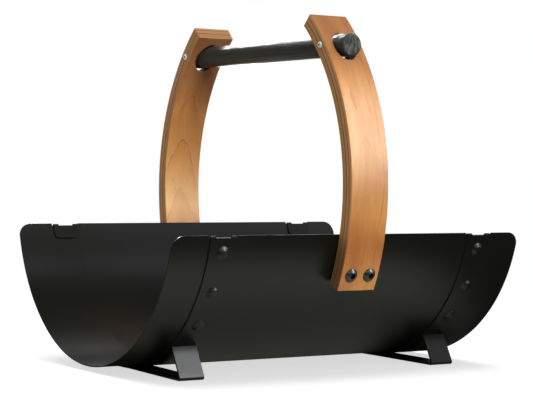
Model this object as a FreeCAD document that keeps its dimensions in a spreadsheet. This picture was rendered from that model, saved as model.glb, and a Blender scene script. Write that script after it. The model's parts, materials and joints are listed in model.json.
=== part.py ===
import FreeCAD, Part
import os

import Sketcher

# Log carrier: a rolled sheet-steel trough of three lapped panels on two bent strap feet,
# carried by two bent plywood arms and a round wooden bar that passes through both arms.
#
# Frame: +X along the trough, +Y from the front arm to the rear arm, +Z up, floor at Z = 0,
# origin under the middle of the trough. Millimetres and degrees.

SIZES = [
    # Trough sheets
    ("trough_length", 420.0),
    ("trough_radius", 172.0),
    ("axis_height", 177.3),
    ("rim_below_axis", 33.2),
    ("sheet_thickness", 1.2),
    ("lap_gap", 0.1),
    ("lap_width", 30.0),
    ("left_lap_start", -168.7),
    ("right_lap_start", 142.2),
    ("corner_radius", 13.5),
    # Folded rim tabs
    ("tab_length", 14.5),
    ("tab_ear", 6.0),
    ("tab_corner", 6.0),
    ("tab_below_rim", 0.5),
    ("notch_clearance", 1.5),
    # Rivets
    ("rivet_count", 3),
    ("rivet_first_angle", 45.0),
    ("rivet_pitch_angle", 14.1),
    ("rivet_shank", 5.0),
    ("rivet_clearance", 0.1),
    ("rivet_head", 13.6),
    ("rivet_dome", 8.8),
    ("rivet_height", 2.8),
    ("rivet_brim", 0.25),
    ("rivet_flare", 0.45),
    # Feet
    ("foot_width", 28.0),
    ("foot_thickness", 2.0),
    ("foot_span", 225.0),
    ("foot_flat", 24.0),
    ("foot_lean", 29.2),
    ("foot_bend", 0.8),
    ("foot_gap", 0.1),
    ("foot_rivet_pitch", 14.0),
    ("foot_rivet_head", 8.4),
    # Arms
    ("arm_inner_radius", 225.9),
    ("arm_thickness", 15.8),
    ("arm_width", 44.8),
    ("arm_gap", 1.5),
    ("arm_seat_angle", 11.9),
    ("arm_bottom_angle", 24.5),
    ("arm_top_angle", 47.2),
    ("arm_edge", 0.8),
    # Handle bar
    ("bar_diameter", 23.4),
    ("bar_angle", 38.3),
    ("bar_overhang", 14.3),
    ("bar_edge", 1.6),
    ("slot_clearance", 0.4),
    ("slot_top_gap", 0.8),
    ("slot_height", 27.4),
    # Bar screws
    ("screw_head", 6.6),
    ("screw_head_height", 2.0),
    ("screw_shank", 4.0),
    ("screw_socket", 2.5),
    ("screw_socket_depth", 1.2),
    ("screw_tip", 1.0),
    ("screw_clearance", 0.1),
    # Arm bolts
    ("bolt_angle", 20.4),
    ("bolt_pitch", 22.0),
    ("bolt_diameter", 8.0),
    ("bolt_clearance", 0.25),
    ("bolt_head", 14.0),
    ("bolt_head_height", 4.4),
    ("bolt_head_edge", 0.9),
    ("bolt_socket", 5.0),
    ("bolt_socket_depth", 2.6),
    ("bolt_end", 2.0),
    ("washer_diameter", 16.0),
    ("spacer_thickness", 1.5),
    ("spacer_gap", 0.15),
    ("washer_thickness", 1.6),
    ("washer_gap", 0.85),
    ("nut_width", 13.0),
    ("nut_height", 6.5),
    # Reach of a cut past the sheet that it trims
    ("cut_margin", 5.0),
]

FRONT = -1
REAR = 1
SIDE_NAMES = {FRONT: "front", REAR: "rear"}

doc = FreeCAD.newDocument("log_carrier")
sizes = doc.addObject("Spreadsheet::Sheet", "sizes")
for row, (alias, number) in enumerate(SIZES, start=1):
    sizes.set(f"A{row}", alias)
    sizes.set(f"B{row}", str(number))
    sizes.setAlias(f"B{row}", alias)
doc.recompute()

# Sizes that several pieces share, as expressions on the sheet

LEFT_RADIUS = "sizes.trough_radius"
LAP_STEP = "(sizes.sheet_thickness + sizes.lap_gap)"
CENTRE_RADIUS = f"({LEFT_RADIUS} + {LAP_STEP})"
RIGHT_RADIUS = f"({LEFT_RADIUS} + 2 * {LAP_STEP})"
HALF_LENGTH = "(sizes.trough_length / 2)"
RIM = "(-sizes.rim_below_axis)"
LEFT_LAP_END = "(sizes.left_lap_start + sizes.lap_width)"
RIGHT_LAP_END = "(sizes.right_lap_start + sizes.lap_width)"
LEFT_ROW = "(sizes.left_lap_start + sizes.lap_width / 2)"
RIGHT_ROW = "(sizes.right_lap_start + sizes.lap_width / 2)"
BEND_RADIUS = "(1.5 * sizes.sheet_thickness + sizes.lap_gap)"
BEND_LEVEL = f"({RIM} - sizes.tab_below_rim - {BEND_RADIUS})"
RIVET_HOLE = "(sizes.rivet_shank + 2 * sizes.rivet_clearance)"

ARM_INNER = "sizes.arm_inner_radius"
ARM_OUTER = "(sizes.arm_inner_radius + sizes.arm_thickness)"
ARM_MIDDLE = "(sizes.arm_inner_radius + sizes.arm_thickness / 2)"
ARM_OFFSET = f"({ARM_INNER} - sizes.arm_gap - {CENTRE_RADIUS})"
ARM_Y = f"({ARM_OFFSET} * cos(sizes.arm_seat_angle))"
ARM_RISE = f"({ARM_OFFSET} * sin(sizes.arm_seat_angle))"
ARM_Z = f"(sizes.axis_height + {ARM_RISE})"

BAR_RISE = f"({ARM_MIDDLE} * sin(sizes.bar_angle))"
BAR_Z = f"({ARM_Z} + {BAR_RISE})"
BAR_REACH = f"(sqrt({ARM_OUTER}^2 - {BAR_RISE}^2) - {ARM_Y} + sizes.bar_overhang)"
SCREW_OUT = f"({ARM_MIDDLE} * cos(sizes.bar_angle))"
SCREW_Y = f"({SCREW_OUT} - {ARM_Y})"
SCREW_HOLE = "(sizes.screw_shank + 2 * sizes.screw_clearance)"

BOLT_TURN = "(sizes.bolt_angle - sizes.arm_seat_angle)"
BOLT_HOLE = "(sizes.bolt_diameter + 2 * sizes.bolt_clearance)"
BOLT_WALL = (f"({ARM_OFFSET} * cos({BOLT_TURN})"
             f" + sqrt({CENTRE_RADIUS}^2 - ({ARM_OFFSET} * sin({BOLT_TURN}))^2))")
SPACER_LOW = f"({ARM_INNER} - sizes.spacer_gap - sizes.spacer_thickness)"
WASHER_LOW = f"({BOLT_WALL} - sizes.sheet_thickness - sizes.washer_gap - sizes.washer_thickness)"
NUT_LOW = f"({WASHER_LOW} - sizes.nut_height)"
BOLT_TIP = f"({NUT_LOW} - sizes.bolt_end)"


def value(expression):
    """The number that an expression on the sheet has now."""
    return float(sizes.evalExpression(expression))


# Sketch helpers

def origin_part(body, role):
    """The body's own origin plane or axis with this role."""
    return next(item for item in body.Origin.OriginFeatures if item.Role == role)


def new_sketch(body, name, role, shift="0", turn=None, turn_side=1):
    """A sketch on an origin plane, moved along its normal, or turned about its own X."""
    sketch = body.newObject("Sketcher::SketchObject", name)
    sketch.AttachmentSupport = [(origin_part(body, role), "")]
    sketch.MapMode = "FlatFace"
    if turn is not None:
        turned = FreeCAD.Rotation(FreeCAD.Vector(turn_side, 0, 0), value(turn))
        sketch.AttachmentOffset = FreeCAD.Placement(FreeCAD.Vector(), turned)
        sketch.setExpression("AttachmentOffset.Rotation.Angle", turn)
    sketch.setExpression("AttachmentOffset.Base.z", shift)
    return sketch


def bind(sketch, constraint, expression):
    """Add a dimension and bind it to an expression."""
    index = sketch.addConstraint(constraint)
    name = f"size_{index}"
    sketch.renameConstraint(index, name)
    sketch.setExpression(f"Constraints.{name}", expression)


def pin_along(sketch, kind, geometry, position, expression):
    """Fix one coordinate of a point, as a positive distance from the sketch's origin."""
    number = value(expression)
    if number < 0:
        bind(sketch, Sketcher.Constraint(kind, geometry, position, -1, 1, -number), f"-({expression})")
    else:
        bind(sketch, Sketcher.Constraint(kind, -1, 1, geometry, position, number), expression)


def pin(sketch, geometry, position, across, up):
    """Fix both coordinates of a point."""
    pin_along(sketch, "DistanceX", geometry, position, across)
    pin_along(sketch, "DistanceY", geometry, position, up)


def outline(sketch, corners, arcs=None):
    """A closed outline through corners, each a pair of expressions.

    arcs maps a corner's number to (centre across, centre up, is anticlockwise) where the edge
    that leaves this corner is round.
    """
    arcs = arcs or {}
    places = [FreeCAD.Vector(value(across), value(up), 0) for across, up in corners]
    edges = []
    for number, start in enumerate(places):
        end = places[(number + 1) % len(places)]
        if number not in arcs:
            edges.append((sketch.addGeometry(Part.LineSegment(start, end)), 1, 2))
            continue
        across, up, anticlockwise = arcs[number]
        centre = FreeCAD.Vector(value(across), value(up), 0)
        first, last = (start, end) if anticlockwise else (end, start)
        circle = Part.Circle(centre, FreeCAD.Vector(0, 0, 1), start.distanceToPoint(centre))
        arc = Part.ArcOfCircle(circle, circle.parameter(first), circle.parameter(last))
        positions = (1, 2) if anticlockwise else (2, 1)
        edges.append((sketch.addGeometry(arc), *positions))
    for number, (edge, start_position, end_position) in enumerate(edges):
        following = edges[(number + 1) % len(edges)]
        sketch.addConstraint(
            Sketcher.Constraint("Coincident", edge, end_position, following[0], following[1]))
    for (edge, start_position, end_position), (across, up) in zip(edges, corners):
        pin(sketch, edge, start_position, across, up)
    for number, (across, up, anticlockwise) in arcs.items():
        chord = places[(number + 1) % len(places)] - places[number]
        edge = edges[number][0]
        if abs(chord.x) < abs(chord.y):
            pin_along(sketch, "DistanceX", edge, 3, across)
        else:
            pin_along(sketch, "DistanceY", edge, 3, up)


def rectangle(sketch, low_across, high_across, low_up, high_up):
    """A rectangle between two corners."""
    outline(sketch, [(low_across, low_up), (high_across, low_up),
                     (high_across, high_up), (low_across, high_up)])


def circle(sketch, across, up, diameter):
    """A circle at a place."""
    centre = FreeCAD.Vector(value(across), value(up), 0)
    geometry = sketch.addGeometry(
        Part.Circle(centre, FreeCAD.Vector(0, 0, 1), value(diameter) / 2))
    pin(sketch, geometry, 3, across, up)
    bind(sketch, Sketcher.Constraint("Diameter", geometry, value(diameter)), diameter)


def hexagon(sketch, width):
    """A hexagon about the origin, with two flat sides square to the sketch's X."""
    half = f"({width} / 2)"
    corner = f"({width} / sqrt(3))"
    outline(sketch, [(half, f"(-{corner} / 2)"), (half, f"({corner} / 2)"), ("0", corner),
                     (f"(-{half})", f"({corner} / 2)"), (f"(-{half})", f"(-{corner} / 2)"),
                     ("0", f"(-{corner})")])


# Feature helpers

def new_body(name):
    """An empty body whose label names its file."""
    body = doc.addObject("PartDesign::Body", name)
    body.Label = name
    return body


def place(body, across="0", along="0", up="0", turn=None, turn_side=1):
    """Put a body in the carrier's frame, turned about X where a turn is given."""
    if turn is not None:
        turned = FreeCAD.Rotation(FreeCAD.Vector(turn_side, 0, 0), value(turn))
        body.Placement = FreeCAD.Placement(FreeCAD.Vector(), turned)
        body.setExpression("Placement.Rotation.Angle", turn)
    body.setExpression("Placement.Base.x", across)
    body.setExpression("Placement.Base.y", along)
    body.setExpression("Placement.Base.z", up)


def pad(body, sketch, length, symmetric=False):
    """Extrude a sketch along its normal, or to both sides of it."""
    feature = body.newObject("PartDesign::Pad", f"{sketch.Name}_pad")
    feature.Profile = sketch
    feature.SideType = "Symmetric" if symmetric else "One side"
    feature.setExpression("Length", length)
    doc.recompute()
    return feature


def cut(body, sketch, both_ways=True):
    """Cut a sketch right through, to both sides or only against its normal."""
    before = body.Shape.Volume
    feature = body.newObject("PartDesign::Pocket", f"{sketch.Name}_cut")
    feature.Profile = sketch
    feature.Type = "ThroughAll"
    feature.SideType = "Symmetric" if both_ways else "One side"
    doc.recompute()
    if body.Shape.Volume >= before:
        raise RuntimeError(f"{feature.Name} removes nothing")
    return feature


def cut_to_depth(body, sketch, depth):
    """Cut a sketch against its normal to a depth."""
    before = body.Shape.Volume
    feature = body.newObject("PartDesign::Pocket", f"{sketch.Name}_cut")
    feature.Profile = sketch
    feature.SideType = "One side"
    feature.setExpression("Length", depth)
    doc.recompute()
    if body.Shape.Volume >= before:
        raise RuntimeError(f"{feature.Name} removes nothing")
    return feature


def revolve(body, sketch, axis_role):
    """Turn a sketch once round an origin axis."""
    feature = body.newObject("PartDesign::Revolution", f"{sketch.Name}_turned")
    feature.Profile = sketch
    feature.ReferenceAxis = (origin_part(body, axis_role), [""])
    feature.Angle = 360.0
    doc.recompute()
    return feature


def edge_names(body, wanted):
    """The names of the edges of the body's last feature for which wanted(edge) holds."""
    names = [f"Edge{number}" for number, edge in enumerate(body.Tip.Shape.Edges, start=1) if wanted(edge)]
    if not names:
        raise RuntimeError(f"{body.Name} has no such edge")
    return names


def round_edges(body, name, radius, wanted):
    """Round the edges for which wanted(edge) holds."""
    base = (body.Tip, edge_names(body, wanted))
    feature = body.newObject("PartDesign::Fillet", name)
    feature.Base = base
    feature.setExpression("Radius", radius)
    doc.recompute()
    return feature


def ease_all_edges(body, name, size):
    """Cut a narrow chamfer along every edge."""
    base = (body.Tip, edge_names(body, lambda edge: True))
    feature = body.newObject("PartDesign::Chamfer", name)
    feature.Base = base
    feature.setExpression("Size", size)
    doc.recompute()
    return feature


def all_points(edge, test):
    """Whether every end point of an edge passes a test."""
    return all(test(vertex.Point) for vertex in edge.Vertexes)


def near(number, expression):
    """Whether a number equals an expression's value."""
    return abs(number - value(expression)) < 1e-4


# Trough sheets, each in a frame whose X axis is the axis of the rolled trough

def at_radius(radius, level, side):
    """The place on a circle about the trough's axis, at a level, on one side."""
    return (f"({side} * sqrt({radius}^2 - {level}^2))", level)


def plain_section(body, name, start, radius):
    """Section of a rolled sheet with a plain rim on both sides."""
    inner = f"({radius} - sizes.sheet_thickness)"
    sketch = new_sketch(body, name, "YZ_Plane", start)
    corners = [at_radius(radius, RIM, FRONT), at_radius(radius, RIM, REAR),
               at_radius(inner, RIM, REAR), at_radius(inner, RIM, FRONT)]
    outline(sketch, corners, {0: ("0", "0", True), 2: ("0", "0", False)})
    return sketch


def on_ray(radius, angle, side):
    """The place at a radius, on a ray that falls by an angle below the horizontal."""
    return (f"({side} * {radius} * cos({angle}))", f"(-{radius} * sin({angle}))")


def folded_section(body, name, start, radius):
    """Section of a rolled sheet whose rims fold inwards over the sheet inside it."""
    thickness = "sizes.sheet_thickness"
    bend_middle = f"({radius} - 1.5 * {thickness} - sizes.lap_gap)"
    bend_angle = f"(asin(-{BEND_LEVEL} / {bend_middle}) / (1 deg))"
    tab_outer = f"({radius} - 2 * {thickness} - 2 * sizes.lap_gap)"
    tab_inner = f"({tab_outer} - {thickness})"
    tab_angle = f"({bend_angle} + sizes.tab_length / {tab_inner} * 180 / pi)"
    inner = f"({radius} - {thickness})"
    sketch = new_sketch(body, name, "YZ_Plane", start)
    corners = [
        on_ray(radius, bend_angle, FRONT),
        on_ray(radius, bend_angle, REAR),
        on_ray(tab_inner, bend_angle, REAR),
        on_ray(tab_inner, tab_angle, REAR),
        on_ray(tab_outer, tab_angle, REAR),
        on_ray(tab_outer, bend_angle, REAR),
        on_ray(inner, bend_angle, REAR),
        on_ray(inner, bend_angle, FRONT),
        on_ray(tab_outer, bend_angle, FRONT),
        on_ray(tab_outer, tab_angle, FRONT),
        on_ray(tab_inner, tab_angle, FRONT),
        on_ray(tab_inner, bend_angle, FRONT),
    ]
    axis = ("0", "0")
    rear_bend = on_ray(bend_middle, bend_angle, REAR)
    front_bend = on_ray(bend_middle, bend_angle, FRONT)
    arcs = {
        0: (*axis, True),
        1: (*rear_bend, True),
        2: (*axis, False),
        4: (*axis, True),
        5: (*rear_bend, False),
        6: (*axis, False),
        7: (*front_bend, False),
        8: (*axis, True),
        10: (*axis, False),
        11: (*front_bend, True),
    }
    outline(sketch, corners, arcs)
    return sketch


def trim_tabs(body, name, start, end):
    """Cut the slot along the bend of both tabs and round the tabs' free corners."""
    slot = new_sketch(body, f"{name}_slot", "XZ_Plane")
    rectangle(slot, f"({start} + sizes.tab_ear)", f"({end} - sizes.tab_ear)",
              BEND_LEVEL, f"({RIM} + sizes.cut_margin)")
    cut(body, slot)
    lowest = max(vertex.Z for vertex in body.Shape.Vertexes if vertex.Z < value(BEND_LEVEL) - 1)

    def is_tab_corner(edge):
        at_end = all_points(edge, lambda point: abs(point.z - lowest) < 1)
        across = all_points(edge, lambda point: near(point.x, start) or near(point.x, end))
        return at_end and across and edge.Length < 2 * value("sizes.sheet_thickness")

    round_edges(body, f"{name}_corners", "sizes.tab_corner", is_tab_corner)


def notch_rim(body, name, start, end):
    """Lower the rim of an inner sheet where the outer sheet's tabs fold over it."""
    notch = new_sketch(body, f"{name}_notch", "XZ_Plane")
    rectangle(notch, start, f"({end} + sizes.cut_margin)", BEND_LEVEL, f"({RIM} + sizes.cut_margin)")
    cut(body, notch)


def round_rim_corner(body, name, side):
    """Round the two rim corners at one free end of the trough."""
    end = f"({side} * {HALF_LENGTH})"
    beyond = f"({side} * ({HALF_LENGTH} + sizes.cut_margin))"
    inset = f"({side} * ({HALF_LENGTH} - sizes.corner_radius))"
    above = f"({RIM} + sizes.cut_margin)"
    below = f"({RIM} - sizes.corner_radius)"
    corner = new_sketch(body, f"{name}_corner", "XZ_Plane")
    outline(corner, [(inset, above), (inset, RIM), (end, below), (beyond, below), (beyond, above)],
            {1: (inset, below, side < 0)})
    cut(body, corner)


def drill_rivets(body, name, row):
    """Holes for one row of seam rivets on each side, and for the foot's two rivets below."""
    for side, side_name in SIDE_NAMES.items():
        sketch = new_sketch(body, f"{name}_{side_name}_hole", "XY_Plane",
                            turn="sizes.rivet_first_angle", turn_side=side)
        circle(sketch, row, "0", RIVET_HOLE)
        hole = cut(body, sketch)
        pattern = body.newObject("PartDesign::PolarPattern", f"{name}_{side_name}_holes")
        pattern.Originals = [hole]
        pattern.Axis = (origin_part(body, "X_Axis"), [""])
        pattern.Reversed = side == FRONT
        pattern.Mode = "Spacing"
        pattern.setExpression("Offset", "sizes.rivet_pitch_angle")
        pattern.setExpression("Occurrences", "sizes.rivet_count")
        body.Tip = pattern
        doc.recompute()
    sketch = new_sketch(body, f"{name}_foot_holes", "XY_Plane")
    for step in (-1, 1):
        circle(sketch, f"({row} + {step} * sizes.foot_rivet_pitch / 2)", "0", RIVET_HOLE)
    cut(body, sketch)


def drill_arm_bolts(body):
    """Holes through both walls for the arms' bolts."""
    level = f"({ARM_RISE} * cos(sizes.bolt_angle) - {ARM_Y} * sin(sizes.bolt_angle))"
    for side, side_name in SIDE_NAMES.items():
        sketch = new_sketch(body, f"{side_name}_bolt_holes", "XZ_Plane",
                            turn="sizes.bolt_angle", turn_side=-side)
        for step in (-1, 1):
            circle(sketch, f"({step} * sizes.bolt_pitch / 2)", level, BOLT_HOLE)
        cut(body, sketch)


def make_left_panel():
    """Left end of the trough, inside the centre panel where they lap."""
    body = new_body("left_end_panel")
    section = plain_section(body, "left_section", f"(-{HALF_LENGTH})", LEFT_RADIUS)
    pad(body, section, f"({LEFT_LAP_END} + {HALF_LENGTH})")
    notch_rim(body, "left_rim", "(sizes.left_lap_start - sizes.notch_clearance)", LEFT_LAP_END)
    round_rim_corner(body, "left_rim", -1)
    drill_rivets(body, "left_row", LEFT_ROW)
    place(body, up="sizes.axis_height")
    return body


def make_centre_panel():
    """Middle of the trough: outside the left panel, inside the right panel."""
    body = new_body("centre_panel")
    folded = folded_section(body, "centre_fold", "sizes.left_lap_start", CENTRE_RADIUS)
    pad(body, folded, "sizes.lap_width")
    plain = plain_section(body, "centre_section", LEFT_LAP_END, CENTRE_RADIUS)
    pad(body, plain, f"({RIGHT_LAP_END} - {LEFT_LAP_END})")
    trim_tabs(body, "centre_tab", "sizes.left_lap_start", LEFT_LAP_END)
    notch_rim(body, "centre_rim", "(sizes.right_lap_start - sizes.notch_clearance)", RIGHT_LAP_END)
    drill_rivets(body, "centre_left_row", LEFT_ROW)
    drill_rivets(body, "centre_right_row", RIGHT_ROW)
    drill_arm_bolts(body)
    place(body, up="sizes.axis_height")
    return body


def make_right_panel():
    """Right end of the trough, outside the centre panel where they lap."""
    body = new_body("right_end_panel")
    folded = folded_section(body, "right_fold", "sizes.right_lap_start", RIGHT_RADIUS)
    pad(body, folded, "sizes.lap_width")
    plain = plain_section(body, "right_section", RIGHT_LAP_END, RIGHT_RADIUS)
    pad(body, plain, f"({HALF_LENGTH} - {RIGHT_LAP_END})")
    trim_tabs(body, "right_tab", "sizes.right_lap_start", RIGHT_LAP_END)
    round_rim_corner(body, "right_rim", 1)
    drill_rivets(body, "right_row", RIGHT_ROW)
    place(body, up="sizes.axis_height")
    return body


# Rivets, each turned about Z in a frame on the trough's axis, with the head outwards

def make_seam_rivet(name, row, radius, side, number):
    """One dome-head rivet of a seam, flush with the inside of the trough."""
    body = new_body(name)
    shank = "(sizes.rivet_shank / 2)"
    head = "(sizes.rivet_head / 2)"
    dome = "(sizes.rivet_dome / 2)"
    inside = f"({radius} - 2 * sizes.sheet_thickness - sizes.lap_gap)"
    brim = f"({radius} + sizes.rivet_brim)"
    flare = f"({brim} + sizes.rivet_flare)"
    top = f"({radius} + sizes.rivet_height)"
    rise = f"({top} - {flare})"
    dome_centre = f"({top} - ({rise}^2 + {dome}^2) / (2 * {rise}))"
    sketch = new_sketch(body, f"{name}_section", "XZ_Plane")
    outline(sketch, [("0", inside), (shank, inside), (shank, radius), (head, radius),
                     (head, brim), (dome, flare), ("0", top)], {5: ("0", dome_centre, True)})
    revolve(body, sketch, "Z_Axis")
    angle = f"(180 - sizes.rivet_first_angle - {number} * sizes.rivet_pitch_angle)"
    place(body, across=row, up="sizes.axis_height", turn=angle, turn_side=-side)
    return body


def make_foot_rivet(name, row, radius, step):
    """One flush rivet that holds a foot under the lap of two sheets."""
    body = new_body(name)
    shank = "(sizes.rivet_shank / 2)"
    head = "(sizes.foot_rivet_head / 2)"
    inside = f"(-{radius} + 2 * sizes.sheet_thickness + sizes.lap_gap)"
    bottom = f"(-{radius} - sizes.foot_gap - sizes.foot_thickness)"
    sink = f"({bottom} + {head} - {shank})"
    sketch = new_sketch(body, f"{name}_section", "XZ_Plane")
    outline(sketch, [("0", bottom), (head, bottom), (shank, sink), (shank, inside), ("0", inside)])
    revolve(body, sketch, "Z_Axis")
    place(body, across=f"({row} + {step} * sizes.foot_rivet_pitch / 2)", up="sizes.axis_height")
    return body


def group(name, members):
    """Equal fasteners that share one node."""
    compound = doc.addObject("Part::Compound", name)
    compound.Label = name
    compound.Links = members
    return compound


def make_seam_rivets(seam, row, radius, side):
    """One side's row of seam rivets."""
    name = f"{seam}_seam_{SIDE_NAMES[side]}_rivets"
    count = int(value("sizes.rivet_count"))
    rivets = [make_seam_rivet(f"{name}_{number + 1}", row, radius, side, number) for number in range(count)]
    return group(name, rivets)


def make_foot_rivets(seam, row, radius):
    """The two rivets of one foot."""
    name = f"{seam}_foot_rivets"
    rivets = [make_foot_rivet(f"{name}_{number}", row, radius, step) for number, step in ((1, -1), (2, 1))]
    return group(name, rivets)


# Feet

def make_foot(seam, row, radius):
    """A strap bent up at both ends: flat under the trough, its legs' tops on the trough's side."""
    body = new_body(f"{seam}_foot")
    seat = f"({radius} + sizes.foot_gap)"
    flat = "(sizes.foot_flat / 2)"
    flat_top = f"(sizes.axis_height - {seat})"
    flat_bottom = f"({flat_top} - sizes.foot_thickness)"
    thickness = "sizes.foot_thickness"
    lean = "sizes.foot_lean"

    # Strap: it falls from the flat to the round of the bend, which alone stands on the floor
    bend = f"(sizes.foot_bend + {thickness})"
    bend_y = f"(sizes.foot_span / 2 - {bend})"
    run = f"({bend_y} - {flat})"
    step_down = f"({flat_bottom} - {bend})"
    fall = f"((atan({step_down} / {run}) + asin({bend} / sqrt({run}^2 + {step_down}^2))) / (1 deg))"
    bend_half = f"((90 - {lean} - {fall}) / 2)"
    outer_bend = (f"({bend_y} - {bend} * sin({fall}) + {bend} / tan({bend_half}) * cos({fall}))",
                  f"({bend} - {bend} * cos({fall}) - {bend} / tan({bend_half}) * sin({fall}))")
    inset = f"({thickness} / tan({bend_half}))"
    inner_bend = (f"({outer_bend[0]} - {inset} * cos({fall}) + {thickness} * sin({fall}))",
                  f"({outer_bend[1]} + {inset} * sin({fall}) + {thickness} * cos({fall}))")
    inner_flat = f"({flat} + {thickness} * tan({fall} / 2))"

    # Leg: its inner face runs up until it meets the trough
    inner_y, inner_z = inner_bend
    drop = f"(sizes.axis_height - {inner_z})"
    along_leg = f"({drop} * cos({lean}) + {inner_y} * sin({lean}))"
    off_leg = f"({inner_y} * cos({lean}) - {drop} * sin({lean}))"
    leg = f"({along_leg} - sqrt({seat}^2 - {off_leg}^2))"
    leg_top_inner = (f"({inner_y} - {leg} * sin({lean}))", f"({inner_z} + {leg} * cos({lean}))")
    leg_top_outer = (f"({leg_top_inner[0]} + {thickness} * cos({lean}))",
                     f"({leg_top_inner[1]} + {thickness} * sin({lean}))")

    half = [(flat, flat_bottom), outer_bend, leg_top_outer, leg_top_inner, inner_bend,
            (inner_flat, flat_top)]
    mirrored = [(f"(-{across})", up) for across, up in reversed(half)]
    sketch = new_sketch(body, f"{seam}_foot_section", "YZ_Plane")
    outline(sketch, half + mirrored)
    pad(body, sketch, "sizes.foot_width", symmetric=True)

    def is_at(place_expressions):
        across, up = place_expressions
        return lambda edge: all_points(
            edge, lambda point: near(abs(point.y), across) and near(point.z, up))

    round_edges(body, f"{seam}_foot_inner_bend", "sizes.foot_bend", is_at(inner_bend))
    round_edges(body, f"{seam}_foot_outer_bend", bend, is_at(outer_bend))

    holes = new_sketch(body, f"{seam}_foot_holes", "XY_Plane")
    for step in (-1, 1):
        circle(holes, f"({step} * sizes.foot_rivet_pitch / 2)", "0", RIVET_HOLE)
    cut(body, holes)
    for step, step_name in ((-1, "left"), (1, "right")):
        sink = body.newObject("PartDesign::SubtractiveCone", f"{seam}_foot_sink_{step_name}")
        sink.setExpression("Radius1", "sizes.foot_rivet_head / 2 + sizes.rivet_clearance")
        sink.setExpression("Radius2", "sizes.rivet_shank / 2 + sizes.rivet_clearance")
        sink.setExpression("Height", "sizes.foot_rivet_head / 2 - sizes.rivet_shank / 2")
        sink.setExpression("Placement.Base.x", f"{step} * sizes.foot_rivet_pitch / 2")
        sink.setExpression("Placement.Base.z", flat_bottom)
        doc.recompute()
    place(body, across=row)
    return body


# Arms, each in a frame on the axis of its own bend

def make_arm(side):
    """A bent plywood arm with holes for its fasteners, and a slot at whose top the bar lies."""
    name = f"{SIDE_NAMES[side]}_arm"
    body = new_body(name)
    ends = ("(-sizes.arm_bottom_angle)", "sizes.arm_top_angle")

    def at(radius, angle):
        return (f"({side} * {radius} * cos({angle}))", f"({radius} * sin({angle}))")

    section = new_sketch(body, f"{name}_section", "YZ_Plane")
    corners = [at(ARM_OUTER, ends[0]), at(ARM_OUTER, ends[1]), at(ARM_INNER, ends[1]), at(ARM_INNER, ends[0])]
    outline(section, corners, {0: ("0", "0", side > 0), 2: ("0", "0", side < 0)})
    pad(body, section, "sizes.arm_width", symmetric=True)
    ease_all_edges(body, f"{name}_edges", "sizes.arm_edge")

    slot = new_sketch(body, f"{name}_slot", "XZ_Plane")
    half = "(sizes.bar_diameter / 2 + sizes.slot_clearance)"
    top = f"({BAR_RISE} + sizes.bar_diameter / 2 + sizes.slot_top_gap)"
    low = f"({top} - sizes.slot_height + {half})"
    high = f"({top} - {half})"
    outline(slot, [(f"(-{half})", low), (half, low), (half, high), (f"(-{half})", high)],
            {0: ("0", low, True), 2: ("0", high, True)})
    cut(body, slot)

    bolts = new_sketch(body, f"{name}_bolt_holes", "XZ_Plane", turn="sizes.bolt_angle", turn_side=-side)
    for step in (-1, 1):
        circle(bolts, f"({step} * sizes.bolt_pitch / 2)", "0", BOLT_HOLE)
    cut(body, bolts)

    screw = new_sketch(body, f"{name}_screw_hole", "YZ_Plane")
    circle(screw, f"({side} * {SCREW_OUT})", BAR_RISE, SCREW_HOLE)
    cut(body, screw, both_ways=False)
    place(body, along=f"(-({side}) * {ARM_Y})", up=ARM_Z)
    return body


# Handle bar and its screws

def make_bar():
    """The round bar, with a blind hole for each arm's screw."""
    body = new_body("handle_bar")
    section = new_sketch(body, "bar_section", "XZ_Plane")
    circle(section, "0", "0", "sizes.bar_diameter")
    pad(body, section, f"(2 * {BAR_REACH})", symmetric=True)
    round_edges(body, "bar_ends", "sizes.bar_edge", lambda edge: len(edge.Vertexes) == 1)
    holes = new_sketch(body, "bar_screw_holes", "YZ_Plane")
    for side in SIDE_NAMES:
        circle(holes, f"({side} * {SCREW_Y})", "0", SCREW_HOLE)
    cut(body, holes, both_ways=False)
    place(body, up=BAR_Z)
    return body


def make_screw(side):
    """A screw through the arm's left edge into the bar."""
    name = f"{SIDE_NAMES[side]}_bar_screw"
    body = new_body(name)
    seat = "(-sizes.arm_width / 2)"
    top = f"({seat} - sizes.screw_head_height)"
    head = "(sizes.screw_head / 2)"
    shank = "(sizes.screw_shank / 2)"
    tip = "(-sizes.screw_tip)"
    dome_centre = f"({top} + ({head}^2 + sizes.screw_head_height^2) / (2 * sizes.screw_head_height))"
    sketch = new_sketch(body, f"{name}_section", "XZ_Plane")
    outline(sketch, [(top, "0"), (seat, head), (seat, shank), (tip, shank), (tip, "0")],
            {0: (dome_centre, "0", False)})
    revolve(body, sketch, "X_Axis")
    socket = new_sketch(body, f"{name}_socket", "YZ_Plane", f"({top} + sizes.screw_socket_depth)")
    hexagon(socket, "sizes.screw_socket")
    cut(body, socket, both_ways=False)
    place(body, along=f"({side} * {SCREW_Y})", up=BAR_Z)
    return body


# Arm bolts, washers and nuts, each along Z in a frame on the axis of the arm's bend

def place_on_bolt(body, side, step):
    """Turn a fastener from Z to the line of an arm's bolt."""
    place(body, across=f"({step} * sizes.bolt_pitch / 2)", along=f"(-({side}) * {ARM_Y})", up=ARM_Z,
          turn="(90 + sizes.bolt_angle)", turn_side=-side)


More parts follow.
